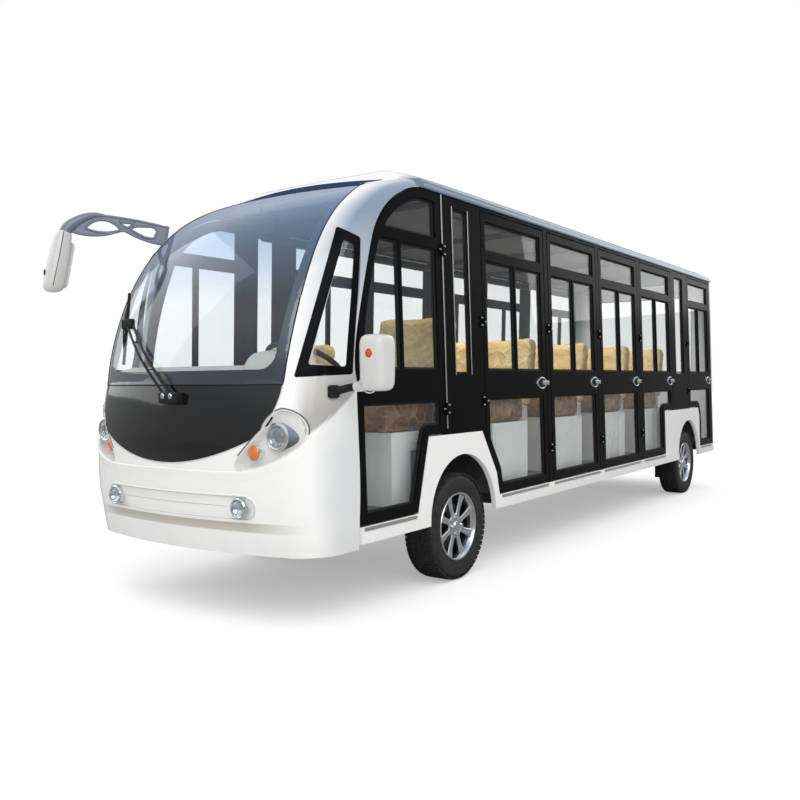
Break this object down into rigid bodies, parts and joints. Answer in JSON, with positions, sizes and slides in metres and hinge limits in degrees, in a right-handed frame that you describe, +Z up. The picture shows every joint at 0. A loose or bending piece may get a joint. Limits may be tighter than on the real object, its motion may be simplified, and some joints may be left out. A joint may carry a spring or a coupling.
{
  "type": "enclosed sightseeing cart",
  "caption": "Enclosed electric sightseeing cart with a domed windscreen, hinged doors along both sides, bench rows, a lattice-arm mirror and road wheels.",
  "frame": {"origin": "on the ground under the middle of the bounding box", "axes": "+X to the vehicle's left, +Y to its rear, +Z up"},
  "size_m": [1.9725, 6.212, 2.1538],
  "materials": {
    "white_gelcoat": "gloss",
    "black_paint": "gloss",
    "black_gloss": "gloss",
    "clear_glass": "clear",
    "chassis_steel": "satin",
    "floor_sheet": "matte",
    "axle_steel": "matte",
    "battery_case": "satin",
    "motor_alloy": "cast",
    "bench_moulding": "satin",
    "cushion_cover": "film wrapped",
    "back_cover": "film wrapped",
    "dashboard_moulding": "satin",
    "steering_rim": "grained",
    "mirror_case": "satin",
    "lamp_glass": "clear",
    "amber_lens": "gloss",
    "red_lens": "gloss",
    "wiper_metal": "satin",
    "tyre_rubber": "matte",
    "ceiling_lining": "matte",
    "flap_rubber": "matte",
    "alloy_wheel": "painted"
  },
  "bodies": {
    "root": {"chassis_frame": "chassis_steel", "floor_deck": "floor_sheet", "front_shell": "white_gelcoat", "windscreen": "clear_glass", "front_panel": "black_gloss", "roof_shell": "white_gelcoat", "ceiling": "ceiling_lining", "side_frame_left": "black_paint", "side_frame_right": "black_paint", "side_skirt_left": "white_gelcoat", "side_skirt_right": "white_gelcoat", "rear_wall": "white_gelcoat", "fixed_windows": "clear_glass", "mudflaps": "flap_rubber", "front_axle": "axle_steel", "rear_axle": "axle_steel", "battery_pack": "battery_case", "drive_motor": "motor_alloy", "bench_bases": "bench_moulding", "seat_cushions": "cushion_cover", "seat_backs": "back_cover", "dashboard": "dashboard_moulding", "steering_wheel": "steering_rim", "interior_mirror": "mirror_case", "headlamps": "lamp_glass", "indicators": "amber_lens", "fog_lamps": "lamp_glass", "tail_lamps": "red_lens", "mirror_left": "white_gelcoat", "mirror_right": "white_gelcoat", "wiper": "wiper_metal"},
    "door_left_1": {"door_left_1": "black_paint"},
    "door_left_2": {"door_left_2": "black_paint"},
    "door_left_3": {"door_left_3": "black_paint"},
    "door_left_4": {"door_left_4": "black_paint"},
    "door_left_5": {"door_left_5": "black_paint"},
    "door_left_6": {"door_left_6": "black_paint"},
    "door_right_1": {"door_right_1": "black_paint"},
    "door_right_2": {"door_right_2": "black_paint"},
    "door_right_3": {"door_right_3": "black_paint"},
    "door_right_4": {"door_right_4": "black_paint"},
    "door_right_5": {"door_right_5": "black_paint"},
    "door_right_6": {"door_right_6": "black_paint"},
    "knuckle_left": {"knuckle_left": "axle_steel"},
    "wheel_front_left": {"rim_front_left": "alloy_wheel", "tyre_front_left": "tyre_rubber"},
    "wheel_rear_left": {"rim_rear_left": "alloy_wheel", "tyre_rear_left": "tyre_rubber"},
    "knuckle_right": {"knuckle_right": "axle_steel"},
    "wheel_front_right": {"rim_front_right": "alloy_wheel", "tyre_front_right": "tyre_rubber"},
    "wheel_rear_right": {"rim_rear_right": "alloy_wheel", "tyre_rear_right": "tyre_rubber"}
  },
  "joints": [
    {"name": "door_left_1_hinge", "type": "hinge", "parent": "root", "child": "door_left_1", "pos_m": [0.73515, -1.916, 1.09995], "axis": [-0.0279, 0, 0.9996], "range_deg": [0, 75]},
    {"name": "door_left_2_hinge", "type": "hinge", "parent": "root", "child": "door_left_2", "pos_m": [0.73515, -1.513, 1.09995], "axis": [0.0279, 0, -0.9996], "range_deg": [0, 75]},
    {"name": "door_left_3_hinge", "type": "hinge", "parent": "root", "child": "door_left_3", "pos_m": [0.73515, -0.6765, 1.09995], "axis": [0.0279, 0, -0.9996], "range_deg": [0, 75]},
    {"name": "door_left_4_hinge", "type": "hinge", "parent": "root", "child": "door_left_4", "pos_m": [0.73515, 0.16, 1.09995], "axis": [0.0279, 0, -0.9996], "range_deg": [0, 75]},
    {"name": "door_left_5_hinge", "type": "hinge", "parent": "root", "child": "door_left_5", "pos_m": [0.73515, 0.9965, 1.09995], "axis": [0.0279, 0, -0.9996], "range_deg": [0, 75]},
    {"name": "door_left_6_hinge", "type": "hinge", "parent": "root", "child": "door_left_6", "pos_m": [0.73515, 2.256, 1.09995], "axis": [0.0279, 0, -0.9996], "range_deg": [0, 75]},
    {"name": "door_right_1_hinge", "type": "hinge", "parent": "root", "child": "door_right_1", "pos_m": [-0.73515, -1.916, 1.09995], "axis": [-0.0279, 0, -0.9996], "range_deg": [0, 75]},
    {"name": "door_right_2_hinge", "type": "hinge", "parent": "root", "child": "door_right_2", "pos_m": [-0.73515, -1.513, 1.09995], "axis": [0.0279, 0, 0.9996], "range_deg": [0, 75]},
    {"name": "door_right_3_hinge", "type": "hinge", "parent": "root", "child": "door_right_3", "pos_m": [-0.73515, -0.6765, 1.09995], "axis": [0.0279, 0, 0.9996], "range_deg": [0, 75]},
    {"name": "door_right_4_hinge", "type": "hinge", "parent": "root", "child": "door_right_4", "pos_m": [-0.73515, 0.16, 1.09995], "axis": [0.0279, 0, 0.9996], "range_deg": [0, 75]},
    {"name": "door_right_5_hinge", "type": "hinge", "parent": "root", "child": "door_right_5", "pos_m": [-0.73515, 0.9965, 1.09995], "axis": [0.0279, 0, 0.9996], "range_deg": [0, 75]},
    {"name": "door_right_6_hinge", "type": "hinge", "parent": "root", "child": "door_right_6", "pos_m": [-0.73515, 2.256, 1.09995], "axis": [0.0279, 0, 0.9996], "range_deg": [0, 75]},
    {"name": "steer_left", "type": "hinge", "parent": "root", "child": "knuckle_left", "pos_m": [0.5, -1.751, 0.2805], "axis": [0, 0, 1], "range_deg": [-30, 30]},
    {"name": "wheel_front_left_spin", "type": "hinge", "parent": "knuckle_left", "child": "wheel_front_left", "pos_m": [0.6275, -1.751, 0.2805], "axis": [1, 0, 0], "continuous": true},
    {"name": "wheel_rear_left_spin", "type": "hinge", "parent": "root", "child": "wheel_rear_left", "pos_m": [0.6275, 2.223, 0.2805], "axis": [1, 0, 0], "continuous": true},
    {"name": "steer_right", "type": "hinge", "parent": "root", "child": "knuckle_right", "pos_m": [-0.5, -1.751, 0.2805], "axis": [0, 0, 1], "range_deg": [-30, 30]},
    {"name": "wheel_front_right_spin", "type": "hinge", "parent": "knuckle_right", "child": "wheel_front_right", "pos_m": [-0.6275, -1.751, 0.2805], "axis": [1, 0, 0], "continuous": true},
    {"name": "wheel_rear_right_spin", "type": "hinge", "parent": "root", "child": "wheel_rear_right", "pos_m": [-0.6275, 2.223, 0.2805], "axis": [1, 0, 0], "continuous": true}
  ],
  "couplings": [
    {"joint": "steer_right", "follows": "steer_left", "ratio": 1}
  ]
}
